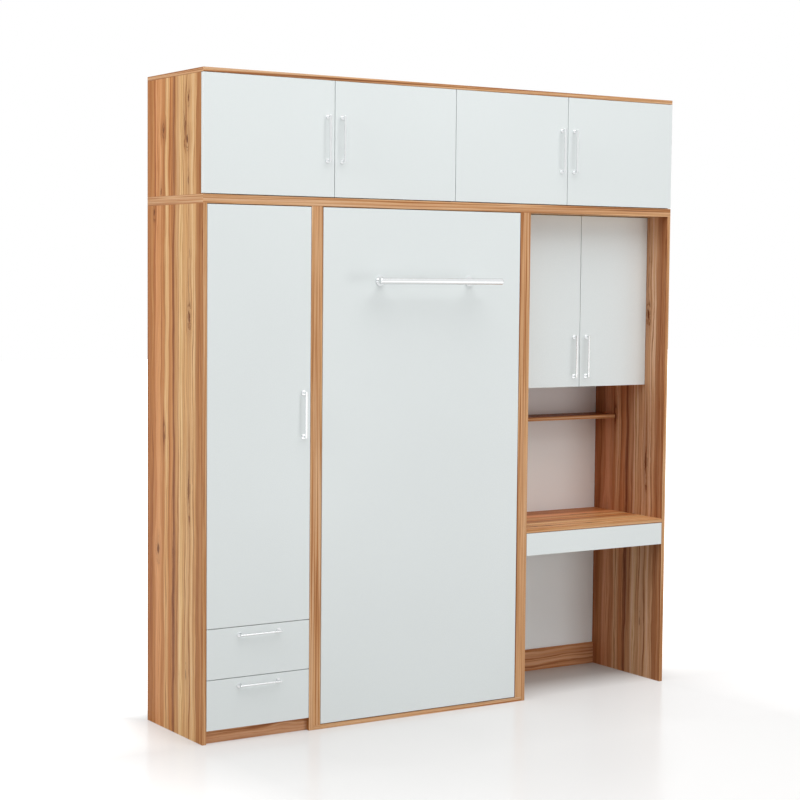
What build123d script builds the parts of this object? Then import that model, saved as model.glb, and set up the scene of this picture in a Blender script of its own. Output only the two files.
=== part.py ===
from build123d import *
import math
import os

# A wall unit with a fold-down single bed between a wardrobe and a desk, millimetres, +Z up.
# x runs from the unit's left end, d runs back from its front plane and z up from the floor.
# The model's own origin is on the floor, at half the width and half the depth.

# Driving sizes of the unit
overall_width = 2400
overall_height = 2700
carcass_depth = 514
upper_unit_height = 514
wardrobe_width = 511
bed_opening = 1000
bed_side = 36

# Boards and fronts
board = 18
back_board = 8
edge_break = 0.6
front_thickness = 18
front_gap = 3
side_gap = 1.5
door_back_gap = 2
bed_bottom_gap = 4
bed_side_gap = 2

# Wardrobe
plinth_height = 50
plinth_recess = 20
first_front_lift = 4.5
drawer_front_height = 204
wardrobe_top_shelf_drop = 320
hanging_rail_drop = 65
hanging_rail_diameter = 25
hanging_rail_wall = 1.5
rail_socket_diameter = 40
rail_socket_thickness = 12
rail_socket_clearance = 0.3

# Desk column
desk_top_height = 768
desk_top_setback = 1
desk_front_height = 99.5
desk_front_drop = 1.5
desk_cabinet_bottom_height = 1386
desk_cabinet_recess = 140
desk_cabinet_shelf_setback = 30
wall_shelf_height = 1214
wall_shelf_depth = 150
skirting_height = 103
skirting_thickness = 16

# Small bar handles
handle_bar_diameter = 9
handle_bar_length = 191
handle_end_rounding = 1
handle_foot_spacing = 180
handle_standoff = 25
handle_foot_diameter = 20
handle_foot_thickness = 3
handle_neck_diameter = 8
handle_edge_distance = 33
handle_drawer_drop = 31
desk_door_handle_rise = 139

# Foot bar of the bed, which is also its pull handle
foot_bar_diameter = 28
foot_bar_end_rounding = 4
foot_bar_length = 615
foot_bar_spacing = 450
foot_bar_standoff = 134
foot_bar_drop = 299
foot_flange_diameter = 42
foot_flange_thickness = 6
foot_post_diameter = 20

# Concealed hinges
cup_diameter = 35
cup_depth = 11.5
cup_wall = 1.5
cup_floor = 1
cup_centre = 22.5
cup_fit = 0.05
cup_flange_width = 38
cup_flange_height = 52
cup_flange_thickness = 1.2
cup_screw_diameter = 7
cup_screw_height = 1.5
cup_screw_spacing = 42
hinge_plate_length = 46
hinge_plate_height = 48
hinge_plate_thickness = 2.5
hinge_plate_setback = 10
hinge_arm_width = 12
hinge_arm_height = 17
hinge_arm_length = 74
hinge_knee = 14
hinge_nose_start = 21
hinge_running_gap = 0.3
hinge_end_distance = 95
wardrobe_hinge_count = 5
small_door_hinge_count = 2

# Drawers and their runners
drawer_side_board = 12
drawer_bottom_board = 6
drawer_bottom_lift = 8
drawer_box_depth = 450
drawer_box_height = 140
drawer_box_lift = 24
desk_box_height = 64
desk_box_lift = 14
runner_space = 13
runner_height = 36
runner_sheet = 1.2
runner_depth = 9
runner_clearance = 0.4
runner_length = 440

# Fold-down bed
pivot_back = 30
pivot_stud_diameter = 10
stud_fit = 0.05
frame_side_space = 40
frame_depth = 40
frame_sheet = 3
frame_leg = 30
frame_bottom_rise = 40
frame_top_drop = 15
cross_bar_height = 60
cross_bar_thickness = 4
lower_cross_bar_rise = 560
slat_count = 14
slat_width = 53
slat_thickness = 8
slat_bow = 10
slat_end_gap = 3
slat_first_rise = 70
mattress_margin = 50
mattress_thickness = 180
mattress_foot_space = 30
mattress_head_space = 58
mattress_rounding = 22
mattress_gap = 0.5
strap_width = 45
strap_thickness = 2
low_strap_slat_count = 4
high_strap_slat_count = 10
bed_rail_height = 100
bed_rail_low = 620
bed_rail_high_drop = 90
wall_screw_inset = 150
wall_screw_hole_diameter = 8

# Gas springs and the steel plates that carry the bed
mechanism_plate_width = 80
mechanism_plate_thickness = 4
mechanism_plate_front = 8
mechanism_plate_end = 40
mechanism_plate_rounding = 12
mechanism_screw_diameter = 9
mechanism_screw_height = 2
mechanism_screw_inset = 16
mechanism_screw_rows = 3
spring_anchor_rise = 600
spring_anchor_back = 30
spring_lever_drop = 100
spring_lever_back = 40
spring_layer = 20
spring_eye_diameter = 22
spring_eye_thickness = 14
spring_neck_diameter = 12
spring_stud_diameter = 8
spring_stud_head_diameter = 13
spring_stud_head_thickness = 2
spring_boss_diameter = 15
spring_running_gap = 0.3
spring_tube_diameter = 28
spring_tube_bore = 24
spring_tube_start = 20
spring_tube_length = 420
spring_tube_cap = 12
spring_guide_length = 20
spring_rod_diameter = 12
spring_rod_fit = 0.05
spring_piston_length = 14
spring_piston_rest = 6
lever_thickness = 6
lever_rounding = 14
lever_top_rise = 70
lever_stud_gap = 0.7

# Places that follow from the sizes above
overrun = board
lower_height = overall_height - upper_unit_height
opening_start = wardrobe_width + bed_side
opening_end = opening_start + bed_opening
desk_start = opening_end + bed_side
lower_ceiling = lower_height - board
upper_floor = lower_height + board
upper_ceiling = overall_height - board
back_face = carcass_depth - back_board
fronts_top = lower_ceiling - front_gap
first_front_bottom = plinth_height + first_front_lift
second_front_bottom = first_front_bottom + drawer_front_height + front_gap
wardrobe_door_bottom = second_front_bottom + drawer_front_height + front_gap
fixed_shelf_bottom = wardrobe_door_bottom - front_gap / 2 - board / 2
shelf_setback = front_thickness + door_back_gap
wardrobe_inside = (board, wardrobe_width - board)
desk_inside = (desk_start + board, overall_width - board)
desk_middle = sum(desk_inside) / 2
upper_middle = overall_width / 2
upper_quarter = overall_width / 4
desk_front_top = desk_top_height - board - desk_front_drop
desk_front_bottom = desk_front_top - desk_front_height
desk_shelf_bottom = (desk_cabinet_bottom_height + lower_ceiling) / 2
panel_bottom = board + bed_bottom_gap
pivot_height = pivot_back + foot_bar_standoff + foot_bar_diameter / 2
frame_start = opening_start + frame_side_space
frame_end = opening_end - frame_side_space
frame_back = front_thickness + frame_depth
frame_bottom = panel_bottom + frame_bottom_rise
frame_top = fronts_top - frame_top_drop
foot_bar_height = fronts_top - foot_bar_drop
bed_middle = (opening_start + opening_end) / 2
anchor_back = pivot_back + spring_anchor_back
anchor_height = pivot_height + spring_anchor_rise
lever_back = pivot_back + spring_lever_back
lever_height = pivot_height - spring_lever_drop
mattress_front = frame_back + slat_thickness + slat_bow + mattress_gap
mattress_back = mattress_front + mattress_thickness
mattress_span = (opening_start + mattress_margin, opening_end - mattress_margin)
mattress_rise = (frame_bottom + mattress_head_space, frame_top - mattress_foot_space)
slat_low = frame_bottom + slat_first_rise
slat_step = (frame_top - slat_first_rise - slat_low) / (slat_count - 1)
screw_rows = (bed_rail_low + bed_rail_height / 2, lower_ceiling - bed_rail_high_drop - bed_rail_height / 2)
screw_columns = (opening_start + wall_screw_inset, opening_end - wall_screw_inset)


# Where things go
def spot(x, d, z):
    """A place given from the left end, the front plane and the floor."""
    return Pos(x - overall_width / 2, d - carcass_depth / 2, z)


def block(x, d, z):
    """A plain block from three (low, high) pairs."""
    middle = [(low + high) / 2 for low, high in (x, d, z)]
    size = [high - low for low, high in (x, d, z)]
    return spot(*middle) * Box(*size)


def panel(x, d, z):
    """A sawn board with its sharp edges taken off."""
    return chamfer(block(x, d, z).edges(), edge_break)


def across(x, d, z, diameter, length):
    """A round bar along x, from x on to its right, or to its left where length is negative."""
    return spot(x + length / 2, d, z) * Rot(0, 90, 0) * Cylinder(diameter / 2, abs(length))


def forward(x, d, z, diameter, length):
    """A round bar along the depth, from d on towards the back."""
    return spot(x, d + length / 2, z) * Rot(90, 0, 0) * Cylinder(diameter / 2, length)


# Handles
def bar_handle(x, d, z, upright):
    """A round bar on two turned feet, standing off the face at d."""
    turn = Rot(0, 0, 0) if upright else Rot(0, 90, 0)
    rod = Cylinder(handle_bar_diameter / 2, handle_bar_length)
    bar = spot(x, d - handle_standoff, z) * turn * fillet(rod.edges().filter_by(GeomType.CIRCLE), handle_end_rounding)
    feet = []
    for side in (-1, 1):
        shift = side * handle_foot_spacing / 2
        foot_x, foot_z = (x, z + shift) if upright else (x + shift, z)
        foot = forward(foot_x, d - handle_foot_thickness, foot_z, handle_foot_diameter, handle_foot_thickness)
        foot += forward(foot_x, d - handle_standoff, foot_z, handle_neck_diameter, handle_standoff)
        feet.append(foot - bar)
    return [bar] + feet


# Concealed hinges, drawn for a door whose hinged edge is at edge_x and which reaches away from it by hand
def hinge_cup(edge_x, hand, back, z):
    """The sunk cup with its flange and two screw heads, seated in the back face of a door."""
    x = edge_x + hand * cup_centre
    bore = cup_diameter - 2 * cup_wall
    cup = forward(x, back - cup_depth, z, cup_diameter, cup_depth)
    half_width = cup_flange_width / 2
    half_height = cup_flange_height / 2
    cup += block((x - half_width, x + half_width), (back, back + cup_flange_thickness),
                 (z - half_height, z + half_height))
    for side in (-1, 1):
        cup += forward(x, back + cup_flange_thickness, z + side * cup_screw_spacing / 2,
                       cup_screw_diameter, cup_screw_height)
    return cup - forward(x, back - cup_depth + cup_floor, z, bore, cup_depth + overrun)


def cup_bore(edge_x, hand, back, z):
    """The hole that a cup is pressed into."""
    x = edge_x + hand * cup_centre
    return forward(x, back - cup_depth - cup_fit, z, cup_diameter + 2 * cup_fit, cup_depth + overrun)


def hinge_arm(edge_x, hand, back, side_face, z):
    """The cranked arm on its mounting plate, whose nose lies in the cup while the door is shut."""
    foot = side_face + hand * hinge_plate_thickness
    start = back + door_back_gap
    plate_start = start + hinge_plate_setback
    plate = block(sorted((side_face, foot)), (plate_start, plate_start + hinge_plate_length),
                  (z - hinge_plate_height / 2, z + hinge_plate_height / 2))
    nose_near = edge_x + hand * hinge_nose_start
    nose_far = nose_near + hand * hinge_arm_width
    nose_tip = back - cup_depth + cup_floor + hinge_running_gap
    arm_far = foot + hand * hinge_arm_width
    outline = [(foot, start + hinge_knee), (nose_near, start), (nose_near, nose_tip),
               (nose_far, nose_tip), (nose_far, start + hinge_knee),
               (arm_far, start + 2 * hinge_knee), (arm_far, start + hinge_arm_length),
               (foot, start + hinge_arm_length)]
    points = [(x - overall_width / 2, d - carcass_depth / 2) for x, d in outline]
    arm = Pos(0, 0, z - hinge_arm_height / 2) * extrude(make_face(Polyline(*points, close=True)), hinge_arm_height)
    return arm + plate


def hinge_rows(low, high, count):
    """Heights of a door's hinges, evenly spread between its ends."""
    step = (high - low - 2 * hinge_end_distance) / (count - 1)
    return [low + hinge_end_distance + row * step for row in range(count)]


# Doors: hinged edge, free edge, front plane, low and high end, number of hinges, and the board that carries them
def door_list():
    """Every hinged door of the unit."""
    upper = (upper_floor + front_gap, upper_ceiling - front_gap / 2)
    desk = (desk_cabinet_bottom_height, fronts_top)
    half_gap = front_gap / 2
    middle_left = upper_middle - board / 2
    middle_right = upper_middle + board / 2
    doors = {
        "upper_door_1": (0, upper_quarter - half_gap, 0, *upper, small_door_hinge_count, board),
        "upper_door_2": (upper_middle - half_gap, upper_quarter + half_gap, 0, *upper,
                         small_door_hinge_count, middle_left),
        "upper_door_3": (upper_middle + half_gap, 3 * upper_quarter - half_gap, 0, *upper,
                         small_door_hinge_count, middle_right),
        "upper_door_4": (overall_width, 3 * upper_quarter + half_gap, 0, *upper,
                         small_door_hinge_count, overall_width - board),
        "wardrobe_door": (wardrobe_inside[0] + side_gap, wardrobe_inside[1] - side_gap, 0,
                          wardrobe_door_bottom, fronts_top, wardrobe_hinge_count, wardrobe_inside[0]),
        "desk_door_left": (desk_inside[0] + side_gap, desk_middle - half_gap, desk_cabinet_recess, *desk,
                           small_door_hinge_count, desk_inside[0]),
        "desk_door_right": (desk_inside[1] - side_gap, desk_middle + half_gap, desk_cabinet_recess, *desk,
                            small_door_hinge_count, desk_inside[1]),
    }
    return doors


def door_pieces(edge, free, front, low, high, count, side_face, handle_height):
    """A door board, its fittings, and the hinge arms that stay on the carcass."""
    hand = 1 if free > edge else -1
    back = front + front_thickness
    leaf = panel(sorted((edge, free)), (front, back), (low, high))
    fittings = bar_handle(free - hand * handle_edge_distance, front, handle_height, True)
    arms = []
    for z in hinge_rows(low, high, count):
        leaf -= cup_bore(edge, hand, back, z)
        fittings.append(hinge_cup(edge, hand, back, z))
        arms.append(hinge_arm(edge, hand, back, side_face, z))
    return leaf, fittings, arms


# Drawers
def drawer_pieces(inside, front_rise, box_lift, box_height, with_handle):
    """A drawer's front, its box of five boards, its moving rails with any handle, and the fixed rails."""
    low, high = front_rise
    front = panel((inside[0] + side_gap, inside[1] - side_gap), (0, front_thickness), front_rise)
    left, right = inside[0] + runner_space, inside[1] - runner_space
    start, end = front_thickness, front_thickness + drawer_box_depth
    rise = (low + box_lift, low + box_lift + box_height)
    inner = (left + drawer_side_board, right - drawer_side_board)
    floor_low = rise[0] + drawer_bottom_lift
    box = [block((left, inner[0]), (start, end), rise), block((inner[1], right), (start, end), rise)]
    box.append(block(inner, (start, start + drawer_side_board), rise))
    box.append(block(inner, (end - drawer_side_board, end), rise))
    box.append(block(inner, (start + drawer_side_board, end - drawer_side_board),
                     (floor_low, floor_low + drawer_bottom_board)))
    middle = sum(rise) / 2
    moving = [moving_rail(left, -1, middle), moving_rail(right, 1, middle)]
    fixed = [fixed_rail(inside[0], 1, middle), fixed_rail(inside[1], -1, middle)]
    if with_handle:
        moving += bar_handle(sum(inside) / 2, 0, high - handle_drawer_drop, False)
    return front, box, moving, fixed


def fixed_rail(face, hand, z):
    """A channel screwed to a cabinet side, open towards the drawer."""
    start = front_thickness + door_back_gap
    far = face + hand * runner_depth
    half = runner_height / 2
    inner = half - runner_sheet
    channel = block(sorted((face, far)), (start, start + runner_length), (z - half, z + half))
    return channel - block(sorted((face + hand * runner_sheet, far + hand * overrun)),
                           (start - overrun, start + runner_length + overrun), (z - inner, z + inner))


def moving_rail(face, hand, z):
    """The channel on the drawer's side that runs inside the fixed one."""
    start = front_thickness
    reach = runner_space - 2 * runner_sheet - runner_clearance
    far = face + hand * reach
    half = runner_height / 2 - runner_sheet - runner_clearance
    inner = half - runner_sheet
    channel = block(sorted((face, far)), (start, start + runner_length), (z - half, z + half))
    return channel - block(sorted((face + hand * runner_sheet, far + hand * overrun)),
                           (start - overrun, start + runner_length + overrun), (z - inner, z + inner))


# Carcass boards
def carcass_boards():
    """The fixed boards, each under the name of its node."""
    column = (0, lower_ceiling)
    depth = (0, carcass_depth)
    full = (0, overall_width)
    behind = (shelf_setback, back_face)
    upper = (upper_floor, upper_ceiling)
    upper_depth = (shelf_setback, carcass_depth)
    cabinet = (desk_cabinet_recess + shelf_setback, back_face)
    skirting_front = carcass_depth - skirting_thickness
    boards = {
        "wardrobe_left_side": panel((0, board), depth, column),
        "wardrobe_right_side": panel((wardrobe_width - board, wardrobe_width), depth, column),
        "wardrobe_plinth": panel(wardrobe_inside, (plinth_recess, plinth_recess + board), (0, plinth_height)),
        "wardrobe_bottom": panel(wardrobe_inside, behind, (plinth_height, plinth_height + board)),
        "bed_bottom_board": panel((wardrobe_width, desk_start), depth, (0, board)),
        "desk_left_side": panel((desk_start, desk_inside[0]), depth, column),
        "desk_right_side": panel((desk_inside[1], overall_width), depth, column),
        "desk_top": panel(desk_inside, (desk_top_setback, back_face), (desk_top_height - board, desk_top_height)),
        "desk_back": panel(desk_inside, (back_face, carcass_depth), (skirting_height, lower_ceiling)),
        "desk_skirting": panel(desk_inside, (skirting_front, carcass_depth), (0, skirting_height)),
        "desk_wall_shelf": panel(desk_inside, (back_face - wall_shelf_depth, back_face),
                                 (wall_shelf_height, wall_shelf_height + board)),
        "lower_top_board": panel(full, depth, (lower_ceiling, lower_height)),
        "upper_bottom_board": panel(full, depth, (lower_height, upper_floor)),
        "upper_top_board": panel(full, depth, (upper_ceiling, overall_height)),
        "upper_divider": panel((upper_middle - board / 2, upper_middle + board / 2),
                               (shelf_setback, back_face), upper),
        "upper_sides": [panel((0, board), upper_depth, upper),
                        panel((overall_width - board, overall_width), upper_depth, upper)],
        "wardrobe_shelves": [
            panel(wardrobe_inside, behind, (fixed_shelf_bottom, fixed_shelf_bottom + board)),
            panel(wardrobe_inside, behind,
                  (lower_ceiling - wardrobe_top_shelf_drop - board, lower_ceiling - wardrobe_top_shelf_drop))],
        "desk_cabinet_shelves": [
            panel(desk_inside, cabinet, (desk_cabinet_bottom_height, desk_cabinet_bottom_height + board)),
            panel(desk_inside, (cabinet[0] + desk_cabinet_shelf_setback, cabinet[1]),
                  (desk_shelf_bottom, desk_shelf_bottom + board))],
    }
    return boards


def cabinet_backs():
    """Thin backs of the wardrobe, the bed case and the upper cabinet."""
    backs = [block(wardrobe_inside, (back_face, carcass_depth), (0, lower_ceiling)),
             block((board, overall_width - board), (back_face, carcass_depth), (upper_floor, upper_ceiling))]
    bed = block((opening_start, opening_end), (back_face, carcass_depth), (board, lower_ceiling))
    return backs + [bed - wall_screw_holes()]


def hanging_rail():
    """A chromed tube under the wardrobe's top shelf, in two end sockets."""
    z = lower_ceiling - wardrobe_top_shelf_drop - board - hanging_rail_drop
    d = (shelf_setback + back_face) / 2
    left, right = wardrobe_inside
    tube_start = left + rail_socket_clearance + hanging_rail_wall
    tube_length = right - rail_socket_clearance - hanging_rail_wall - tube_start
    tube = across(tube_start, d, z, hanging_rail_diameter, tube_length)
    bore = hanging_rail_diameter - 2 * hanging_rail_wall
    tube -= across(tube_start - overrun, d, z, bore, tube_length + 2 * overrun)
    sockets = []
    for face, hand in ((left, 1), (right, -1)):
        socket = across(face, d, z, rail_socket_diameter, hand * rail_socket_thickness)
        seat = hanging_rail_diameter + 2 * rail_socket_clearance
        sockets.append(socket - across(face + hand * hanging_rail_wall, d, z, seat, hand * rail_socket_thickness))
    return [tube] + sockets


# Bed case
def bed_case_side(x, face, hand):
    """A thick side with a pocket that takes the mechanism plate flush."""
    side = panel(x, (0, carcass_depth), (board, lower_ceiling))
    plate = mechanism_plate_blank(face, -hand)
    return side - plate


def mechanism_plate_blank(face, hand):
    """The plain rounded plate, from the side's inner face into the board by hand."""
    low, high = pivot_height - mechanism_plate_end, anchor_height + mechanism_plate_end
    front, rear = mechanism_plate_front, mechanism_plate_front + mechanism_plate_width
    plate = block(sorted((face, face + hand * mechanism_plate_thickness)), (front, rear), (low, high))
    return fillet(plate.edges().filter_by(Axis.X), mechanism_plate_rounding)


def mechanism_plate(face, hand):
    """The steel plate of one side, the stud that the bed turns on, and the gas spring's upper stud."""
    plate = mechanism_plate_blank(face, -hand) + mechanism_screws(face, hand)
    pivot = across(face, pivot_back, pivot_height, pivot_stud_diameter, hand * (frame_side_space - spring_running_gap))
    half_eye = spring_eye_thickness / 2
    anchor = across(face, anchor_back, anchor_height, spring_boss_diameter,
                    hand * (spring_layer - half_eye - spring_running_gap))
    head = spring_layer + half_eye + spring_running_gap
    anchor += across(face, anchor_back, anchor_height, spring_stud_diameter, hand * head)
    anchor += across(face + hand * head, anchor_back, anchor_height, spring_stud_head_diameter,
                     hand * spring_stud_head_thickness)
    return [plate, pivot, anchor]


def mechanism_screws(face, hand):
    """Screw heads on the plate, above the sweep of the bed's lower edge."""
    low = pivot_height + 2 * pivot_back
    high = anchor_height - mechanism_plate_end
    columns = (mechanism_plate_front + mechanism_screw_inset,
               mechanism_plate_front + mechanism_plate_width - mechanism_screw_inset)
    step = (high - low) / (mechanism_screw_rows - 1)
    return [across(face, d, low + row * step, mechanism_screw_diameter, hand * mechanism_screw_height)
            for d in columns for row in range(mechanism_screw_rows)]


def wall_screw_places():
    """The four holes that fix the unit to the wall, through the rails and the back."""
    return [(x, z) for x in screw_columns for z in screw_rows]


def wall_screw_holes():
    """Cutters for the four wall screw holes."""
    start = back_face - board - overrun
    length = carcass_depth - start + overrun
    return [forward(x, start, z, wall_screw_hole_diameter, length) for x, z in wall_screw_places()]


def bed_back_rails():
    """Two stiff rails across the bed case, through which the unit is screwed to the wall."""
    depth = (back_face - board, back_face)
    width = (opening_start, opening_end)
    low = panel(width, depth, (bed_rail_low, bed_rail_low + bed_rail_height))
    high_top = lower_ceiling - bed_rail_high_drop
    high = panel(width, depth, (high_top - bed_rail_height, high_top))
    return [low - wall_screw_holes(), high - wall_screw_holes()]


# Bed
def bed_panel():
    """The front of the folded bed, which is its underside when it is down."""
    return panel((opening_start + bed_side_gap, opening_end - bed_side_gap), (0, front_thickness),
                 (panel_bottom, fronts_top))


def bed_frame():
    """Four lengths of channel that face inwards, three cross bars and two lever plates, welded together."""
    rise = (frame_bottom, frame_top)
    depth = (front_thickness, frame_back)
    ring = block((frame_start, frame_end), depth, rise)
    ring -= block((frame_start + frame_sheet, frame_end - frame_sheet),
                  (front_thickness + frame_sheet, frame_back - frame_sheet),
                  (rise[0] + frame_sheet, rise[1] - frame_sheet))
    inner = (frame_start + frame_leg, frame_end - frame_leg)
    welded = [ring & block((frame_start, inner[0]), depth, rise), ring & block((inner[1], frame_end), depth, rise),
              ring & block(inner, depth, (rise[0], rise[0] + frame_leg)),
              ring & block(inner, depth, (rise[1] - frame_leg, rise[1]))]
    lowest = panel_bottom + lower_cross_bar_rise
    for middle in (lowest, (lowest + foot_bar_height) / 2, foot_bar_height):
        welded.append(block(inner, (front_thickness, front_thickness + cross_bar_thickness),
                            (middle - cross_bar_height / 2, middle + cross_bar_height / 2)))
    return welded + [lever_plate(frame_start, -1), lever_plate(frame_end, 1)]


def lever_plate(face, hand):
    """The plate that turns on the pivot stud, with the gas spring's short lower stud."""
    lower, upper = front_thickness, pivot_height + lever_top_rise
    outline = [(lower, frame_bottom), (lever_back, frame_bottom), (lever_back + lever_rounding, lever_height),
               (lever_back + lever_rounding, pivot_height), (frame_back, upper), (lower, upper)]
    points = [(d - carcass_depth / 2, z) for d, z in outline]
    sketch = Plane.YZ * make_face(Polyline(*points, close=True))
    start = min(face, face + hand * lever_thickness)
    plate = Pos(start - overall_width / 2, 0, 0) * extrude(sketch, lever_thickness)
    hole = across(face, pivot_back, pivot_height, pivot_stud_diameter + 2 * stud_fit, hand * lever_thickness)
    eye_face = frame_side_space - spring_layer - spring_eye_thickness / 2
    stud = across(face, lever_back, lever_height, spring_stud_diameter, hand * (eye_face - lever_stud_gap))
    return plate - hole + stud


def bed_slats():
    """Sprung slats, bowed up in the middle, standing on the channel's back leg."""
    start, end = frame_start + slat_end_gap, frame_end - slat_end_gap
    half = (end - start) / 2
    under = ThreePointArc((-half, 0), (0, slat_bow), (half, 0))
    over = ThreePointArc((half, slat_thickness), (0, slat_bow + slat_thickness), (-half, slat_thickness))
    side = make_face([under, Line(under @ 1, over @ 0), over, Line(over @ 1, under @ 0)])
    slat = extrude(side, slat_width)
    return [spot(bed_middle, frame_back, slat_low + row * slat_step - slat_width / 2) * slat
            for row in range(slat_count)]


def mattress():
    """A plain block with rounded edges."""
    pad = block(mattress_span, (mattress_front, mattress_back), mattress_rise)
    return fillet(pad.edges(), mattress_rounding)


def mattress_straps():
    """Two flat bands from the frame over the mattress, each between two slats."""
    straps = []
    left, right = mattress_span[0] - mattress_gap, mattress_span[1] + mattress_gap
    for slats_below in (low_strap_slat_count, high_strap_slat_count):
        middle = slat_low + (slats_below - 0.5) * slat_step
        rise = (middle - strap_width / 2, middle + strap_width / 2)
        far = mattress_back + mattress_gap
        outer = block((left - strap_thickness, right + strap_thickness), (frame_back, far + strap_thickness), rise)
        inner = block((left, right), (frame_back - overrun, far), (rise[0] - overrun, rise[1] + overrun))
        straps.append(outer - inner)
    return straps


def foot_bar():
    """The tube that pulls the bed down and then carries its end, on two flanged posts."""
    face = 0
    bar = across(bed_middle - foot_bar_length / 2, face - foot_bar_standoff, foot_bar_height,
                 foot_bar_diameter, foot_bar_length)
    bar = fillet(bar.edges().filter_by(GeomType.CIRCLE), foot_bar_end_rounding)
    posts = []
    for side in (-1, 1):
        x = bed_middle + side * foot_bar_spacing / 2
        post = forward(x, face - foot_flange_thickness, foot_bar_height, foot_flange_diameter, foot_flange_thickness)
        post += forward(x, face - foot_bar_standoff, foot_bar_height, foot_post_diameter, foot_bar_standoff)
        posts.append(post - bar)
    return [bar] + posts


# Gas springs, drawn along -Z from the upper eye and then tilted into place
def spring_axis():
    """Length between the eyes at rest, and the tilt of the spring towards the back at its lower end."""
    back = lever_back - anchor_back
    drop = anchor_height - lever_height
    return math.hypot(back, drop), math.degrees(math.atan2(back, drop))


def spring_place(face, hand):
    """Carries a spring drawn from its upper eye to one side of the bed case."""
    tilt = spring_axis()[1]
    return spot(face + hand * spring_layer, anchor_back, anchor_height) * Rot(tilt, 0, 0)


def spring_eye(drop, hole):
    """An eye across the spring's line, this far down it."""
    eye = Pos(0, 0, -drop) * Rot(0, 90, 0) * Cylinder(spring_eye_diameter / 2, spring_eye_thickness)
    return eye - Pos(0, 0, -drop) * Rot(0, 90, 0) * Cylinder(hole / 2, spring_eye_thickness + overrun)


def upright_turned(radius, high, low):
    """A round length of the spring between two drops below the upper eye."""
    return Pos(0, 0, -(high + low) / 2) * Cylinder(radius, low - high)


def gas_spring_cylinder(face, hand):
    """The pressure tube with its upper eye and the guide that closes its lower end."""
    end = spring_tube_start + spring_tube_length
    tube = upright_turned(spring_tube_diameter / 2, spring_tube_start, end)
    tube += upright_turned(spring_neck_diameter / 2, spring_stud_diameter, spring_tube_start)
    tube -= upright_turned(spring_tube_bore / 2, spring_tube_start + spring_tube_cap, end - spring_guide_length)
    tube -= upright_turned(spring_rod_diameter / 2 + spring_rod_fit, end - spring_guide_length - overrun, end + overrun)
    return spring_place(face, hand) * (tube + spring_eye(0, spring_stud_diameter + 2 * stud_fit))


def gas_spring_rod(face, hand):
    """The piston rod with its piston and lower eye."""
    length = spring_axis()[0]
    guide = spring_tube_start + spring_tube_length - spring_guide_length
    piston_end = guide - spring_piston_rest
    rod = upright_turned(spring_rod_diameter / 2, piston_end, length - spring_stud_diameter)
    rod += upright_turned(spring_tube_bore / 2 - spring_rod_fit, piston_end - spring_piston_length, piston_end)
    rod += spring_eye(length, spring_stud_diameter + 2 * stud_fit)
    rod -= Pos(0, 0, -length) * Rot(0, 90, 0) * Cylinder(spring_stud_diameter / 2 + stud_fit, 2 * overrun)
    return spring_place(face, hand) * rod


# The whole unit
def handle_height(name, low, high):
    """Handles sit at mid height, and near the low end of the desk's doors."""
    return low + desk_door_handle_rise if name.startswith("desk") else (low + high) / 2


def build():
    """Every sub-part by its name: one solid, or a list of separate ones."""
    parts = carcass_boards()
    parts["cabinet_backs"] = cabinet_backs()
    parts["wardrobe_hanging_rail"] = hanging_rail()
    parts["bed_left_side"] = bed_case_side((wardrobe_width, opening_start), opening_start, 1)
    parts["bed_right_side"] = bed_case_side((opening_end, desk_start), opening_end, -1)
    parts["mechanism_plates"] = mechanism_plate(opening_start, 1) + mechanism_plate(opening_end, -1)
    parts["bed_back_rails"] = bed_back_rails()
    parts["bed_panel"] = bed_panel()
    parts["bed_frame"] = bed_frame()
    parts["bed_slats"] = bed_slats()
    parts["mattress"] = mattress()
    parts["mattress_straps"] = mattress_straps()
    parts["foot_bar"] = foot_bar()
    for side, face, hand in (("left", opening_start, 1), ("right", opening_end, -1)):
        parts["gas_spring_cylinder_" + side] = gas_spring_cylinder(face, hand)
        parts["gas_spring_rod_" + side] = gas_spring_rod(face, hand)
    arms = []
    for name, (edge, free, front, low, high, count, side_face) in door_list().items():
        grip = handle_height(name, low, high)
        leaf, fittings, door_arms = door_pieces(edge, free, front, low, high, count, side_face, grip)
        parts[name] = leaf
        parts[name + "_fittings"] = fittings
        arms += door_arms
    parts["hinge_arms"] = arms
    rails = []
    upper_front = (second_front_bottom, second_front_bottom + drawer_front_height)
    lower_front = (first_front_bottom, first_front_bottom + drawer_front_height)
    desk_front = (desk_front_bottom, desk_front_top)
    drawers = {
        "upper_drawer": (wardrobe_inside, upper_front, drawer_box_lift, drawer_box_height, True),
        "lower_drawer": (wardrobe_inside, lower_front, drawer_box_lift, drawer_box_height, True),
        "desk_drawer": (desk_inside, desk_front, desk_box_lift, desk_box_height, False),
    }
    for name, sizes in drawers.items():
        front, box, moving, fixed = drawer_pieces(*sizes)
        parts[name + "_front"] = front
        parts[name + "_box"] = box
        parts[name + ("_fittings" if sizes[-1] else "_rails")] = moving
        rails += fixed
    parts["drawer_runners"] = rails
    return parts


parts = build()
os.makedirs("parts", exist_ok=True)
for name, shape in parts.items():
    solids = shape if isinstance(shape, list) else [shape]
    shape = Compound(children=[solid for piece in solids for solid in piece.solids()])
    export_step(shape, os.path.join("parts", name + ".step"))
spring_length, spring_tilt = spring_axis()
print(len(parts), "parts; pivot height", pivot_height, "spring", round(spring_length, 2), round(spring_tilt, 3))
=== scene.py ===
# %% [markdown]
# A wall bed, lesson by lesson.
# The object is a 2.4 m wide cabinet that hides a single bed. A wardrobe stands on its left, a desk niche on
# its right, and a row of small doors runs along the top. The boards, hinges, runners and the folding frame
# come from the construction model, which is loaded here as a fixed frame and never moved. These lessons give
# every surface its finish, and build the pieces whose look matters more than their fit.

# %% Load the frame
import math

import bmesh
import bpy
from mathutils import Matrix, Vector


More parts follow.
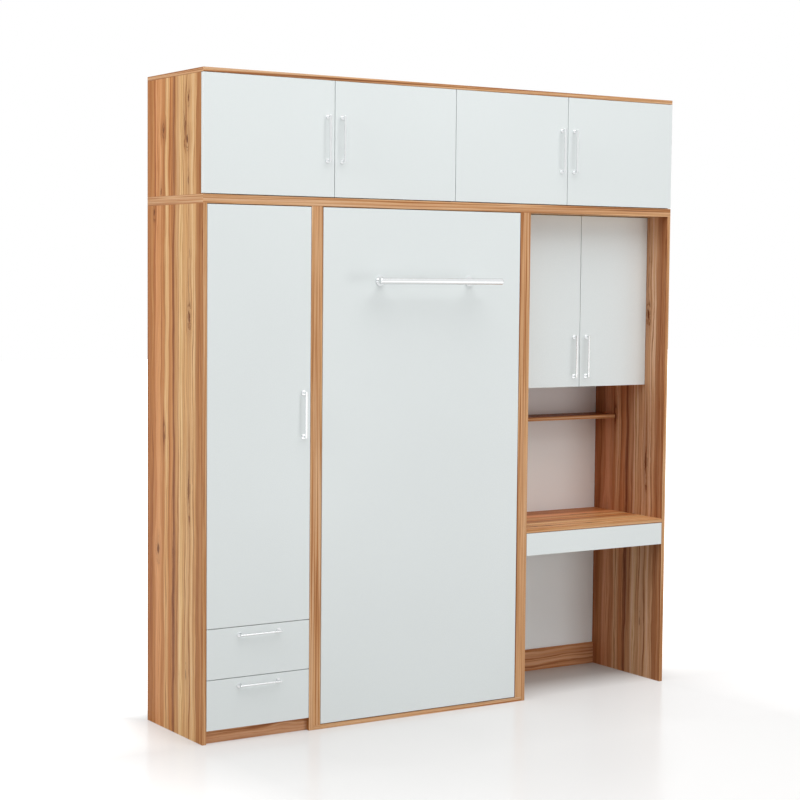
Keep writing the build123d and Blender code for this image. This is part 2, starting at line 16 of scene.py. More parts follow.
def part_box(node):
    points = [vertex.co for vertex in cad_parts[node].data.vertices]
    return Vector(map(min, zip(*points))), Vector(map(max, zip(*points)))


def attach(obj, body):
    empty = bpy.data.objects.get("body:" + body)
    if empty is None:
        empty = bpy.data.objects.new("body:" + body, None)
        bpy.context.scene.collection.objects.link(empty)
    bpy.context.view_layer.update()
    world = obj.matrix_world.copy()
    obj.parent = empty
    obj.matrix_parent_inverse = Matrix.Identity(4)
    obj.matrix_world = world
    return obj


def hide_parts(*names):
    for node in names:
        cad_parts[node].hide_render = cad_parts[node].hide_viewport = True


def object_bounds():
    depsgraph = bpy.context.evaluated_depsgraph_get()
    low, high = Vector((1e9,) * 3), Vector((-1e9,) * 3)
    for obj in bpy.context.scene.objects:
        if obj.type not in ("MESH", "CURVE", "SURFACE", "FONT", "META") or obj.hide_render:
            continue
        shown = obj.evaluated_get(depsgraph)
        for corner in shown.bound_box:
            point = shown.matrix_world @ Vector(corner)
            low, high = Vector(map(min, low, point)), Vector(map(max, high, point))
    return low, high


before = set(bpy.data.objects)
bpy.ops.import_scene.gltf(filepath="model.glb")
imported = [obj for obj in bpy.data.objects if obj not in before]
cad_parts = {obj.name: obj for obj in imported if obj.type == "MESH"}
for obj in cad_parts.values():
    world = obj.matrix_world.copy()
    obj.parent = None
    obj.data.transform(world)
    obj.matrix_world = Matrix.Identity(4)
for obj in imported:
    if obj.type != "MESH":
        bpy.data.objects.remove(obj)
cad_low, cad_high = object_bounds()
print("frame", len(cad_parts), "nodes", [round(high - low, 3) for low, high in zip(cad_low, cad_high)])

# %% [markdown]
# Small helpers come first. Lengths are in metres, so `mm` turns a drawing's millimetres into them. `paint`
# turns a paint shop's colour code into the linear values that a shader wants, `tinted` warms or darkens a
# colour, and `painted` does both for the stops of a colour ramp.

# %% Units and colours
mm = 0.001
no_tint = (1, 1, 1)


def paint(code):
    """Linear colour of a six-digit code."""
    channels = [int(code[place:place + 2], 16) / 255 for place in (0, 2, 4)]
    linear = [value / 12.92 if value <= 0.04045 else ((value + 0.055) / 1.055) ** 2.4 for value in channels]
    return (*linear, 1.0)


def tinted(colour, tint):
    """A colour whose red, green and blue are each raised or lowered."""
    return (*(min(channel * share, 1.0) for channel, share in zip(colour, tint)), 1.0)


def painted(codes, tint=no_tint):
    """A colour ramp's stops from (place, code) pairs, all tinted alike."""
    return [(place, tinted(paint(code), tint)) for place, code in codes]


print("mid grey is", round(paint("808080")[0], 3), "in linear light")

# %% [markdown]
# The camera stands where the photographer's did. Its place and its three turns come from lining the
# cabinet's straight edges up with the picture: it looks a third of a quarter turn to the right, a little
# down, and leans half a degree. A long lens keeps the uprights almost parallel.

# %% Camera
camera_place = Vector((-4.5869, -7.0048, 1.9027))
camera_turn = math.radians(32.5945)
camera_dip = math.radians(3.8513)
camera_lean = math.radians(0.5101)
camera_lens = 85.469


def show(name, data):
    """A new object at the origin, from a mesh, a curve, a lamp or a camera."""
    made = bpy.data.objects.new(name, data)
    bpy.context.scene.collection.objects.link(made)
    return made


ahead = Vector((math.sin(camera_turn) * math.cos(camera_dip), math.cos(camera_turn) * math.cos(camera_dip),
                -math.sin(camera_dip)))
level_right = Vector((math.cos(camera_turn), -math.sin(camera_turn), 0))
level_up = level_right.cross(ahead)
right = level_right * math.cos(camera_lean) + level_up * math.sin(camera_lean)
upward = right.cross(ahead)
camera_data = bpy.data.cameras.new("camera")
camera_data.lens = camera_lens
camera_data.sensor_width = 36
camera_data.clip_end = 100
camera = show("camera", camera_data)
camera_turned = Matrix((right, upward, -ahead)).transposed().to_4x4()
camera.matrix_world = Matrix.Translation(camera_place) @ camera_turned
bpy.context.scene.camera = camera
print("camera", camera_place, "lens", camera_lens)

# %% [markdown]
# Materials are trees of shader nodes. A few helpers keep the lessons short. `start` lays a new material's
# tree on the bench and hands over its main shader. `add` places a node in the tree that lies there, sets its
# sockets, and plugs in whatever sockets it is given.

# %% Nodes and wires
bench = {}


def start(name, **sockets):
    """A new material and its main shader, with plain numbers set on the shader's own sockets."""
    material = bpy.data.materials.new(name)
    material.use_nodes = True
    bench["tree"] = material.node_tree
    shader = material.node_tree.nodes["Principled BSDF"]
    for socket, value in sockets.items():
        shader.inputs[socket.replace("_", " ")].default_value = value
    return material, shader


def wire(value, socket):
    """Plugs another socket into this one, or sets it to a number or a colour."""
    if isinstance(value, bpy.types.NodeSocket):
        bench["tree"].links.new(value, socket)
    else:
        socket.default_value = value


def add(kind, *wires, **settings):
    """A node of that kind; settings are its properties, and wires are (socket, value or other socket)."""
    made = bench["tree"].nodes.new("ShaderNode" + kind)
    for name, value in settings.items():
        setattr(made, name, value)
    for socket, value in wires:
        wire(value, made.inputs[socket])
    return made


def maths(operation, *values):
    """A sum, product or other operation on numbers or sockets."""
    return add("Math", *enumerate(values), operation=operation).outputs[0]


def object_place():
    """A point's place on its piece, so that a pattern moves with it."""
    return add("TexCoord").outputs["Object"]


def axes(vector):
    """A vector's three numbers, by the letters of their axes."""
    return add("SeparateXYZ", ("Vector", vector)).outputs


print("helpers for nodes and wires")

# %% [markdown]
# More helpers make patterns: cloudy noise, parallel ribs, a range stretched onto another, and a colour ramp.
# Two mix numbers or colours. The last plugs the results into a shader: its colour, its gloss, and a height
# that bends the light as a real relief would.

# %% Patterns, mixes and the finished surface
cloud = (0.3, 0.7)


def noise(vector, scale, detail=2.0, roughness=0.5):
    """Cloudy noise about a half; most of it lies in the range of `cloud`."""
    return add("TexNoise", ("Vector", vector), ("Scale", scale), ("Detail", detail),
               ("Roughness", roughness)).outputs["Fac"]


def ribs(vector, scale, waver, direction):
    """Parallel ribs, from 0 between them to 1 on top."""
    return add("TexWave", ("Vector", vector), ("Scale", scale), ("Distortion", waver), wave_type="BANDS",
               bands_direction=direction).outputs["Fac"]


def spread(value, low, high, to_low, to_high):
    """Stretches a value's range onto another, held at its ends."""
    return add("MapRange", ("Value", value), ("From Min", low), ("From Max", high), ("To Min", to_low),
               ("To Max", to_high), clamp=True).outputs["Result"]


def ramp(value, stops):
    """A colour ramp from (place, colour) stops."""
    made = add("ValToRGB", ("Fac", value))
    made.color_ramp.interpolation = "LINEAR"
    points = made.color_ramp.elements
    while len(points) < len(stops):
        points.new(0.5)
    for point, (place, colour) in zip(points, stops):
        point.position = place
        point.color = colour
    return made.outputs["Color"]


def mottled(value, code, share, span=cloud):
    """A colour that is darkened to that share where a value is low."""
    base = paint(code)
    return ramp(value, [(span[0], tinted(base, [share] * 3)), (span[1], base)])


def either(share, first, second):
    """One number or another, or a share of both."""
    return add("Mix", ("Factor", share), ("A", first), ("B", second)).outputs[0]


def blended(kind, share, first, second):
    """Two colours laid over each other."""
    return add("Mix", (0, share), (6, first), (7, second), data_type="RGBA", blend_type=kind).outputs[2]


def surface(shader, colour, height, strength, depth, roughness=None):
    """Gives a shader its colour, a relief of that strength and depth, and perhaps a wandering gloss."""
    wire(colour, shader.inputs["Base Color"])
    relief = add("Bump", ("Strength", strength), ("Distance", depth), ("Height", height))
    wire(relief.outputs[0], shader.inputs["Normal"])
    if roughness is not None:
        wire(roughness, shader.inputs["Roughness"])


print("most of a noise lies in", cloud)

# %% [markdown]
# Next come the boards. Their faces are printed with a striped fruitwood, and a print repeats: every upright
# shows the same bands, and the same knots at the same height. So the pattern is laid out once, as a sheet,
# with its bands measured back from a board's front edge. The colours run from dark brown at the front,
# through light tan and one dark narrow line, to salmon and orange-brown at the back.

# %% The sheet's bands
sheet_width = 514 * mm
tones = [(0, "A87243"), (22, "C38C58"), (34, "AE7748"), (54, "B47F50"), (64, "D8AA76"), (84, "E6BF8D"),
         (112, "DFB581"), (128, "D0A271"), (150, "E0B681"), (170, "D6A976"), (196, "ECC992"),
         (212, "E6BD89"), (228, "CC9B6C"), (244, "D8AA74"), (254, "C38E5D"), (262, "935B34"),
         (270, "9B623B"), (277, "D69E68"), (296, "C98B54"), (306, "BD7D47"), (318, "E4B680"),
         (342, "E8BF8A"), (354, "D0955F"), (372, "C48754"), (396, "E0A570"), (428, "D99B68"),
         (446, "BC7D49"), (466, "C58A53"), (484, "AE6F3D"), (500, "BD8150"), (514, "B07545")]
print_tint = (1.14, 1.23, 1.38)
sheet_bands = painted([(back * mm / sheet_width, code) for back, code in tones], print_tint)
print("bands", len(sheet_bands), "across", sheet_width, "m")

# %% [markdown]
# Blender's ramp holds at most 32 stops, which is just enough. The knots are places on the same sheet: how
# far back, how high, half the width, half the length, and how dark. Long thin ones are cracks in the figure,
# and round ones are the ends of small branches.

# %% The sheet's knots
sheet_knots = [(125, 1030, 8, 88, 1.0), (124, 1716, 9, 38, 1.0), (124, 1850, 4, 95, 0.55),
               (139, 2426, 13, 26, 1.0), (165, 2490, 7, 62, 0.75), (134, 2588, 9, 24, 0.95),
               (364, 2471, 10, 18, 0.9), (382, 2222, 8, 24, 0.75), (134, 2262, 8, 26, 0.65),
               (357, 1215, 8, 38, 0.8), (409, 745, 12, 32, 0.85), (268, 540, 7, 190, 0.6),
               (146, 262, 7, 32, 0.6), (449, 2140, 9, 22, 0.85)]
level_knots = [(150, -880, 8, 40, 0.9), (330, -240, 7, 60, 0.7), (118, 560, 8, 48, 0.9),
               (110, 790, 9, 34, 1.0), (380, 980, 7, 60, 0.7), (300, 480, 7, 40, 0.6)]
print("knots", len(sheet_knots), "upright,", len(level_knots), "level")

# %% [markdown]
# One knot is a soft oval. Its halo pushes the bands apart, as growth rings part round a branch. Its narrower
# core is dark, with a broken ring round it and a faint stain further out. Noise frays the oval and breaks
# the ring, so it reads as a crack and not as a drawn shape. Reaches are counted in the knot's half sizes.

# %% A knot
halo_reach = (0.5, 4.5)
halo_push = 0.75
core_reach = (0.45, 0.95)
ring_opens = (1.05, 1.35)
ring_closes = (1.4, 2.3)
ring_dark = 0.7
stain_reach = (0.8, 3.2)
stain_dark = 0.26


def knot(across, run, sizes):
    """How far a point is from a knot's heart, 1 at the oval's rim, and how far off the knot's line."""
    back, high, half_width, half_length, _ = sizes
    off = maths("SUBTRACT", across, back * mm)
    wide = maths("DIVIDE", off, half_width * mm)
    long = maths("DIVIDE", maths("SUBTRACT", run, high * mm), half_length * mm)
    squares = maths("MULTIPLY_ADD", wide, wide, maths("MULTIPLY", long, long))
    return maths("SQRT", squares), off


def knotted(across, run, frayed, broken, knots):
    """The pattern's place with its lines parted round every knot, and how dark the knots make it."""
    parted = across
    dark = 0.0
    for sizes in knots:
        depth = sizes[4]
        reach, off = knot(frayed, run, sizes)
        halo = spread(reach, *halo_reach, depth * halo_push, 0.0)
        parted = maths("SUBTRACT", parted, maths("MULTIPLY", off, halo))
        core = spread(reach, *core_reach, depth, 0.0)
        ring = maths("MULTIPLY", spread(reach, *ring_opens, 0.0, 1.0),
                     spread(reach, *ring_closes, depth * ring_dark, 0.0))
        ring = maths("MULTIPLY", ring, broken)
        stain = spread(reach, *stain_reach, depth * stain_dark, 0.0)
        for share in (core, ring, stain):
            dark = maths("MAXIMUM", dark, share)
    return parted, dark


print("a knot's halo reaches", halo_reach[1])

# %% [markdown]
# The figure inside a band is stretched noise in several sizes. Each row says how fine it is across the
# grain and along it, how many finer clouds it carries, and how rough they are. The first three bend the
# bands and fray the knots, the fourth draws the edging, and the rest are streaks, fibres and pores.

# %% The figure of the wood
band_grain = (2.2, 0.9, 1.0, 0.5)
wander_grain = (18.0, 3.2, 3.0, 0.5)
fray_grain = (7.0, 17.0, 4.0, 0.62)
edging_grain = (85.0, 0.5, 1.0, 0.5)
streak_grain = (88.0, 0.7, 4.0, 0.68)
fibre_grain = (420.0, 3.5, 2.0, 0.5)
pore_grain = (1300.0, 30.0, 1.0, 0.5)
band_bend = 16 * mm
wander_bend = 38 * mm
knot_fray = 26 * mm
ring_breaks = (-0.02, 0.08)
pore_range = (0.64, 0.74)
streak_share = 0.82
fibre_share = 0.5
pore_share = 0.30
edging_tint = (1.05, 1.12, 1.32)
edging_stops = [(0.30, "8A5430"), (0.40, "C58D5C"), (0.48, "E6BC8E"), (0.56, "D9AB7A"), (0.62, "C08655"),
                (0.72, "ECC79A")]
streak_stops = [(0.30, "7C4C29"), (0.40, "C19566"), (0.48, "F4E1C6"), (0.60, "FFFFFF")]
fibre_stops = [(0.28, "C9AE96"), (0.62, "FFFFFF")]
pore_brown = "6E4329"
knot_brown = "66300C"
print("streaks in", len(streak_stops), "tones")

# %% [markdown]
# The wood itself: a board's axes are the one along the grain, the one across the sheet, and the one through
# the board. On a narrow edge the bands don't show. A strip of edging does, whose grain follows the edge, so
# there the pattern is read through the board's thickness. The fibres give the print its slight gloss.

# %% Fruitwood
squarely = 0.8
fibre_range = (0.2, 0.8)
fibre_gloss = (0.52, 0.38)


def fruitwood(name, board_axes, sheet_start, knots, tint=no_tint):
    """Printed fruitwood on a board, with edging on its narrow faces."""
    run_axis, cut_axis, wide_axis = board_axes
    material, shader = start(name, IOR=1.18)
    source = add("TexCoord").outputs
    place = axes(source["Object"])
    facing = add("VectorMath", (0, source["Normal"]), operation="ABSOLUTE").outputs[0]
    facing = axes(facing)
    edge = maths("LESS_THAN", facing[wide_axis], squarely)
    end = maths("GREATER_THAN", facing[run_axis], squarely)
    cut = maths("SUBTRACT", place[cut_axis], sheet_start)
    run = either(end, place[run_axis], cut)
    across = either(edge, cut, place[wide_axis])

    def figure(value, grain):
        """Noise that is stretched along the grain."""
        stretched = add("CombineXYZ", ("X", maths("MULTIPLY", value, grain[0])),
                        ("Z", maths("MULTIPLY", run, grain[1]))).outputs[0]
        return noise(stretched, 1.0, *grain[2:])

    def sway(grain):
        """The same noise about nought, which bends a line to both sides."""
        return maths("SUBTRACT", figure(across, grain), 0.5)

    fray = sway(fray_grain)
    bent = maths("MULTIPLY_ADD", sway(band_grain), band_bend, cut)
    bent = maths("MULTIPLY_ADD", sway(wander_grain), wander_bend, bent)
    frayed = maths("MULTIPLY_ADD", fray, knot_fray, bent)
    broken = spread(fray, *ring_breaks, 0.0, 1.0)
    parted, dark = knotted(bent, run, frayed, broken, knots)
    # A kind's tint paints that kind's light and shade onto the bands.
    bands = ramp(maths("DIVIDE", parted, sheet_width),
                 [(stop, tinted(colour, tint)) for stop, colour in sheet_bands])
    strip = ramp(figure(across, edging_grain), painted(edging_stops, edging_tint))
    colour = blended("MIX", edge, bands, strip)
    lines = either(edge, parted, place[wide_axis])
    streaks = ramp(figure(lines, streak_grain), painted(streak_stops))
    colour = blended("MULTIPLY", streak_share, colour, streaks)
    fibre = figure(lines, fibre_grain)
    colour = blended("MULTIPLY", fibre_share, colour, ramp(fibre, painted(fibre_stops)))
    pores = spread(figure(lines, pore_grain), *pore_range, 0.0, pore_share)
    colour = blended("MIX", pores, colour, paint(pore_brown))
    dark = maths("MULTIPLY", dark, maths("SUBTRACT", 1.0, edge))
    colour = blended("MIX", dark, colour, paint(knot_brown))
    roughness = spread(fibre, *fibre_range, *fibre_gloss)
    surface(shader, colour, fibre, strength=0.15, depth=0.3 * mm, roughness=roughness)
    return material


print("fruitwood's gloss", fibre_gloss)

# %% [markdown]
# Boards are cut from the sheet in three ways: uprights with the grain standing, level boards with it lying
# along the unit, and plinth and skirting with their width upright. Each row gives a kind's three axes, where
# its sheet starts, the sheet's knots, and a tint. The tints paint light and shade onto the same print: the
# niche's side is darkened and cooled and the wall shelf darkened as painted shade, plinth, skirting and back
# rails are darkened and reddened as painted shade, and the level boards are lightened as painted light.

# %% The kinds of board
carcass_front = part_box("wardrobe_left_side")[0][1]
level_start = carcass_front - 60 * mm
# Tints: niche, shelf and face are painted shade, level is painted light, all on one print.
kinds = {"upright": ("ZYX", carcass_front, sheet_knots),
         "niche": ("ZYX", carcass_front, sheet_knots, (0.88, 0.86, 1.07)),
         "level": ("XYZ", level_start, level_knots, (1.16, 1.09, 1.09)),
         "shelf": ("XYZ", level_start, level_knots, (0.62, 0.57, 0.62)),
         "face": ("XZY", -60 * mm, [], (0.82, 0.68, 0.74))}
woods = {kind: fruitwood(kind + "_fruitwood", *row) for kind, row in kinds.items()}
print("wood for", list(woods))

# %% [markdown]
# The doors, the drawer fronts and the bed panel are pressed board under a cool white gloss lacquer. Sprayed
# lacquer is never quite flat: it has a faint orange-peel ripple and drifts a little in tone over a metre,
# so that a big white panel looks like a surface.

# %% White gloss lacquer
drift_share = 0.975
peel_gloss = 0.05


def lacquer(name, code, gloss):
    """Sprayed lacquer with a soft drift in tone and an orange-peel ripple."""
    material, shader = start(name, IOR=1.5)
    place = object_place()
    colour = mottled(noise(place, scale=1.3, detail=1.0), code, drift_share)
    peel = noise(place, scale=420.0)
    roughness = spread(peel, *cloud, gloss, gloss + peel_gloss)
    surface(shader, colour, peel, strength=0.05, depth=0.1 * mm, roughness=roughness)
    return material


front_lacquer = lacquer("white_front_lacquer", "E8EEEE", 0.24)
back_lacquer = lacquer("back_panel_white", "F6FAFB", 0.48)
print("lacquer", front_lacquer.name, back_lacquer.name)

# %% [markdown]
# Metals differ in how they were finished. Chrome is almost a mirror, zinc plate has a fine crystalline
# mottle, and powder coat is a matt skin with a pimpled surface.

# %% Metals
dulled = 1.35


def metal(name, code, gloss, mottle, scale, metallic=1.0):
    """Metal or paint on metal, whose gloss wanders with a fine mottle."""
    material, shader = start(name, Metallic=metallic)
    grain = noise(object_place(), scale, detail=3.0)
    colour = mottled(grain, code, 1 - mottle)
    roughness = spread(grain, *cloud, gloss, gloss * dulled)
    surface(shader, colour, grain, strength=mottle, depth=0.08 * mm, roughness=roughness)
    return material


chrome = metal("polished_chrome", "E6E8E9", 0.10, 0.02, 60.0)
zinc = metal("bright_zinc_plate", "C9CBCE", 0.30, 0.10, 900.0)
powder_coat = metal("grey_powder_coat", "6E7278", 0.45, 0.25, 1500.0, 0.0)
black_paint = metal("satin_black_paint", "1D1E20", 0.35, 0.10, 700.0, 0.0)
print("metals and paints from", chrome.name, "to", black_paint.name)

# %% [markdown]
# Now each part of the frame gets its finish, from one list. The slats and the drawer boxes follow further
# down. The table gives, for each door, the way it reaches from its hinges, and the carcass face that carries
# them. The screws will need it too.

# %% Finishes for the frame's own parts
def dress(piece, *materials):
    """Gives a piece these materials and no others."""
    piece.data.materials.clear()
    for material in materials:
        piece.data.materials.append(material)


door_table = {"upper_door_1": (1, 18), "upper_door_2": (-1, 1191), "upper_door_3": (1, 1209),
              "upper_door_4": (-1, 2382), "wardrobe_door": (1, 18), "desk_door_left": (1, 1601),
              "desk_door_right": (-1, 2382)}
doors = list(door_table)
drawers = ["upper_drawer", "lower_drawer", "desk_drawer"]
handled = doors + drawers[:2]
finishes = [
    (woods["upright"], ["wardrobe_left_side", "wardrobe_right_side", "bed_left_side", "bed_right_side",
                        "desk_left_side", "upper_sides", "upper_divider"]),
    (woods["niche"], ["desk_right_side"]),
    (woods["level"], ["wardrobe_bottom", "wardrobe_shelves", "bed_bottom_board", "desk_top",
                      "desk_cabinet_shelves", "lower_top_board", "upper_bottom_board", "upper_top_board"]),
    (woods["shelf"], ["desk_wall_shelf"]),
    (woods["face"], ["wardrobe_plinth", "desk_skirting", "bed_back_rails"]),
    (back_lacquer, ["cabinet_backs", "desk_back"]),
    (front_lacquer, doors + [drawer + "_front" for drawer in drawers] + ["bed_panel"]),
    (zinc, ["mechanism_plates", "hinge_arms", "drawer_runners", "desk_drawer_rails"]),
    (chrome, ["wardrobe_hanging_rail", "foot_bar", "gas_spring_rod_left", "gas_spring_rod_right"]
     + [body + "_fittings" for body in handled]),
    (black_paint, ["gas_spring_cylinder_left", "gas_spring_cylinder_right"]),
    (powder_coat, ["bed_frame"]),
]
for material, names in finishes:
    for name in names:
        dress(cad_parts[name], material)
print("finished", sum(len(names) for _, names in finishes), "parts of the frame")

# %% [markdown]
# A helper turns a shaped mesh into a finished piece: it joins doubled points, points every face outwards,
# shades it smooth except across its sharp edges, and makes it ride on a body of the frame. A second one
# measures as the cabinet maker does, and the last two bake modifiers and thicken a thin sheet.

# %% Finished pieces
sharp_angle = math.radians(40)
doubled = 0.01 * mm


def finish_piece(name, shape, material, body):
    """Turns a bmesh into a piece that rides on a body."""
    bmesh.ops.remove_doubles(shape, verts=shape.verts[:], dist=doubled)
    bmesh.ops.recalc_face_normals(shape, faces=shape.faces[:])
    mesh = bpy.data.meshes.new(name)
    shape.to_mesh(mesh)
    shape.free()
    mesh.shade_smooth()
    mesh.set_sharp_from_angle(angle=sharp_angle)
    mesh.materials.append(material)
    piece = show(name, mesh)
    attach(piece, body)
    return piece


def spot(across, back, rise):
    """A place given in millimetres from the unit's left side, front plane and floor."""
    return Vector((cad_low[0] + across * mm, carcass_front + back * mm, rise * mm))


def apply_modifiers(piece):
    """Bakes a piece's modifiers into its mesh."""
    graph = bpy.context.evaluated_depsgraph_get()
    baked = bpy.data.meshes.new_from_object(piece.evaluated_get(graph))
    piece.modifiers.clear()
    piece.data = baked


def thicken(piece, thickness, offset):
    """Gives a thin sheet its thickness."""
    solid = piece.modifiers.new("thickness", "SOLIDIFY")
    solid.thickness = thickness
    solid.offset = offset
    apply_modifiers(piece)


print("front plane at y", round(carcass_front, 3))

# %% [markdown]
# The mattress stands behind the bed panel until the bed comes down. It is a firm foam mattress in a quilted
# cover. Real cloth under a little pressure gives the crowned faces and the soft corners, so a rounded block
# is remeshed evenly and blown up by a cloth simulation, with a cap on how far a point may move. The quilting
# comes after that, because remeshing would erase it.

# %% The mattress core
pad_low, pad_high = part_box("mattress")
pad_middle = (pad_low + pad_high) / 2
pad_inset = 5 * mm
pad_rounding = 24 * mm
pad_voxel = 18 * mm
pad_swell = 4.5 * mm
swell_frames = 8
swell_pressure = 0.12


def add_block(shape, low, high, rounding, segments=2):
    """Adds a block with every edge rounded."""
    points = bmesh.ops.create_cube(shape, size=1)["verts"]
    bmesh.ops.scale(shape, vec=high - low, verts=points)
    bmesh.ops.translate(shape, vec=(low + high) / 2, verts=points)
    edges = list(dict.fromkeys(edge for point in points for edge in point.link_edges))
    bmesh.ops.bevel(shape, geom=edges, offset=rounding, segments=segments, profile=0.5, affect="EDGES",
                    material=-1)


inset = Vector([pad_inset] * 3)
pad_shape = bmesh.new()
add_block(pad_shape, pad_low + inset, pad_high - inset, pad_rounding, segments=4)
mattress = finish_piece("quilted_mattress", pad_shape, front_lacquer, "bed")
remesh = mattress.modifiers.new("even faces", "REMESH")
remesh.mode = "VOXEL"
remesh.voxel_size = pad_voxel
remesh.use_smooth_shade = True
apply_modifiers(mattress)
start_points = [point.co.copy() for point in mattress.data.vertices]
cloth = mattress.modifiers.new("swell", "CLOTH")
cloth.settings.use_pressure = True
cloth.settings.uniform_pressure_force = swell_pressure
cloth.settings.effector_weights.gravity = 0
cloth.point_cache.frame_end = swell_frames
for frame_number in range(1, swell_frames + 1):
    bpy.context.scene.frame_set(frame_number)
apply_modifiers(mattress)
bpy.context.scene.frame_set(1)
for point, place in zip(mattress.data.vertices, start_points):
    move = point.co - place
    if move.length > pad_swell:
        point.co = place + move.normalized() * pad_swell
moves = [(point.co - place).length for point, place in zip(mattress.data.vertices, start_points)]
print("mattress core", len(moves), "points, moved", round(max(moves) / mm, 1), "mm at most")

# %% [markdown]
# Quilting pulls the cover down along crossing lines of stitching, and the wadding puffs up between them. On
# the two big faces the lines make long diamonds, and on the border they run straight up, a hand apart. Each
# point is moved along its own normal by how near it is to a line. Under the straps the puffs are flat.

# %% Quilting
diamond_width = 150 * mm
diamond_length = 200 * mm
seam_width = 13 * mm
seam_depth = 6.5 * mm
border_step = 75 * mm
border_depth = 2.2 * mm
strap_rises = (656.5 * mm, 1555.5 * mm)
strap_half = 24 * mm
strap_dent = 1.2 * mm

subdivide = mattress.modifiers.new("finer faces", "SUBSURF")
subdivide.levels = subdivide.render_levels = 1
apply_modifiers(mattress)


def line_distance(value, step):
    """Distance to the nearest of evenly spaced lines."""
    return abs((value / step) % 1.0 - 0.5) * step


def sunk(distance, width):
    """1 on a seam, falling smoothly to 0 beside it."""
    return math.exp(-(distance / width) ** 2)


facings = [point.normal.copy() for point in mattress.data.vertices]
lean = math.hypot(1 / diamond_width, 1 / diamond_length)
for point, facing in zip(mattress.data.vertices, facings):
    across = point.co.x - pad_middle.x
    along = point.co.z - pad_middle.z
    face_share = abs(facing.y) ** 2
    first = line_distance(across / diamond_width + along / diamond_length, 1.0) / lean
    second = line_distance(across / diamond_width - along / diamond_length, 1.0) / lean
    quilt = max(sunk(first, seam_width), sunk(second, seam_width)) * seam_depth * face_share
    round_edge = along if abs(facing.x) > abs(facing.z) else across
    quilt += sunk(line_distance(round_edge, border_step), seam_width / 2) * border_depth * (1 - face_share)
    pressed = max(sunk(point.co.z - rise, strap_half) for rise in strap_rises)
    point.co -= facing * (quilt * (1 - pressed) + strap_dent * pressed)
mattress.data.update()
mattress.data.shade_smooth()
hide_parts("mattress")
print("quilted", len(mattress.data.polygons), "faces")

# %% [markdown]
# The cover is knitted ticking: off-white, with a fine raised knit that catches the light at a low angle and
# a hint of sheen. The border is the same cloth in pale grey. A noise and two crossed waves make the knit,
# and its hollows are darkened as painted shade.

# %% Ticking
knit_waver = 0.6
painted_knit_shade = 0.86
knit_span = (0.05, 0.5)
worn_share = 0.95
worn_span = (0.35, 0.65)
quarter_turn = math.radians(90)
face_facing = 0.62


def knit(name, code, pitch, depth):
    """Knitted cover cloth with crossed ribs."""
    material, shader = start(name, Roughness=0.85, Sheen_Weight=0.35, Sheen_Roughness=0.4, IOR=1.4)
    place = object_place()
    turned = add("Mapping", ("Vector", place), ("Rotation", (0, quarter_turn, 0))).outputs[0]
    weave = maths("MULTIPLY", *(ribs(vector, pitch, knit_waver, "DIAGONAL") for vector in (place, turned)))
    worn = tinted(paint(code), [worn_share] * 3)
    wear = ramp(noise(place, scale=7.0, detail=3.0), [(worn_span[0], worn), (worn_span[1], paint("FFFFFF"))])
    # The hollows between the ribs are darkened: painted shade.
    colour = blended("MULTIPLY", 0.5, mottled(weave, code, painted_knit_shade, knit_span), wear)
    surface(shader, colour, weave, strength=0.5, depth=depth)
    return material


ticking = knit("knitted_ticking", "EFECE4", 190.0, 0.5 * mm)
border_cloth = knit("knitted_border", "C9CBCC", 150.0, 0.5 * mm)
dress(mattress, ticking, border_cloth)
for face in mattress.data.polygons:
    face.material_index = 0 if abs(face.normal.y) > face_facing else 1
print("cover", ticking.name, border_cloth.name)

# %% [markdown]
# A sewn-in piping hides the seam between each face and the border. It is a thin round tube along the pad's
# edge, so it is drawn as a closed curve: a rounded outline with many points, each laid on the swollen and
# quilted cover where that is nearest, and a bevel for its thickness. It sits half sunk in the edge.

# %% Piping
piping_radius = 3.2 * mm
piping_inset = pad_inset + pad_rounding * (1 - math.cos(math.radians(45)))
piping_corner = 18 * mm
piping_cuts = 24


def rounded_outline(low, high, level, radius):
    """Points round a rounded rectangle, at one level of y."""
    shape = bmesh.new()
    corners = [shape.verts.new(place) for place in ((low.x, level, low.z), (high.x, level, low.z),
                                                    (high.x, level, high.z), (low.x, level, high.z))]
    shape.faces.new(corners)
    bmesh.ops.bevel(shape, geom=shape.verts[:], offset=radius, segments=6, profile=0.5, affect="VERTICES",
                    material=-1)
    straight = [edge for edge in shape.edges if edge.calc_length() > radius]
    bmesh.ops.subdivide_edges(shape, edges=straight, cuts=piping_cuts)
    shape.faces.ensure_lookup_table()
    points = [loop.vert.co.copy() for loop in shape.faces[0].loops]
    shape.free()
    return points


piping_cloth = knit("knitted_piping", "B9BBBD", 260.0, 0.3 * mm)
piping_shift = Vector((piping_inset, 0, piping_inset))
for name, level in (("near", pad_low.y + piping_inset), ("far", pad_high.y - piping_inset)):
    outline = rounded_outline(pad_low + piping_shift, pad_high - piping_shift, level, piping_corner)
    outline = [mattress.closest_point_on_mesh(place)[1] for place in outline]
    line = bpy.data.curves.new("mattress_piping_" + name, "CURVE")
    line.dimensions = "3D"
    line.bevel_depth = piping_radius
    line.bevel_resolution = 3
    spline = line.splines.new("POLY")
    spline.points.add(len(outline) - 1)
    for point, place in zip(spline.points, outline):
        point.co = (*place, 1)
    spline.use_cyclic_u = True
    line.materials.append(piping_cloth)
    piping = show("mattress_piping_" + name, line)
    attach(piping, "bed")
print("piping", round(2 * piping_radius / mm, 1), "mm thick")

# %% [markdown]
# Two webbing straps keep the mattress on the frame while the bed stands up. Each runs from the frame's left
# channel, over the mattress and back to the right one. The piece starts as a bent line along the CAD solid's
# path. Its corners are rounded, it is drawn out to the webbing's width, and then it is thickened.

# %% Mattress straps
strap_low, strap_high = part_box("mattress_straps")
strap_width = 45 * mm
strap_thickness = 2 * mm
strap_bend = 9 * mm


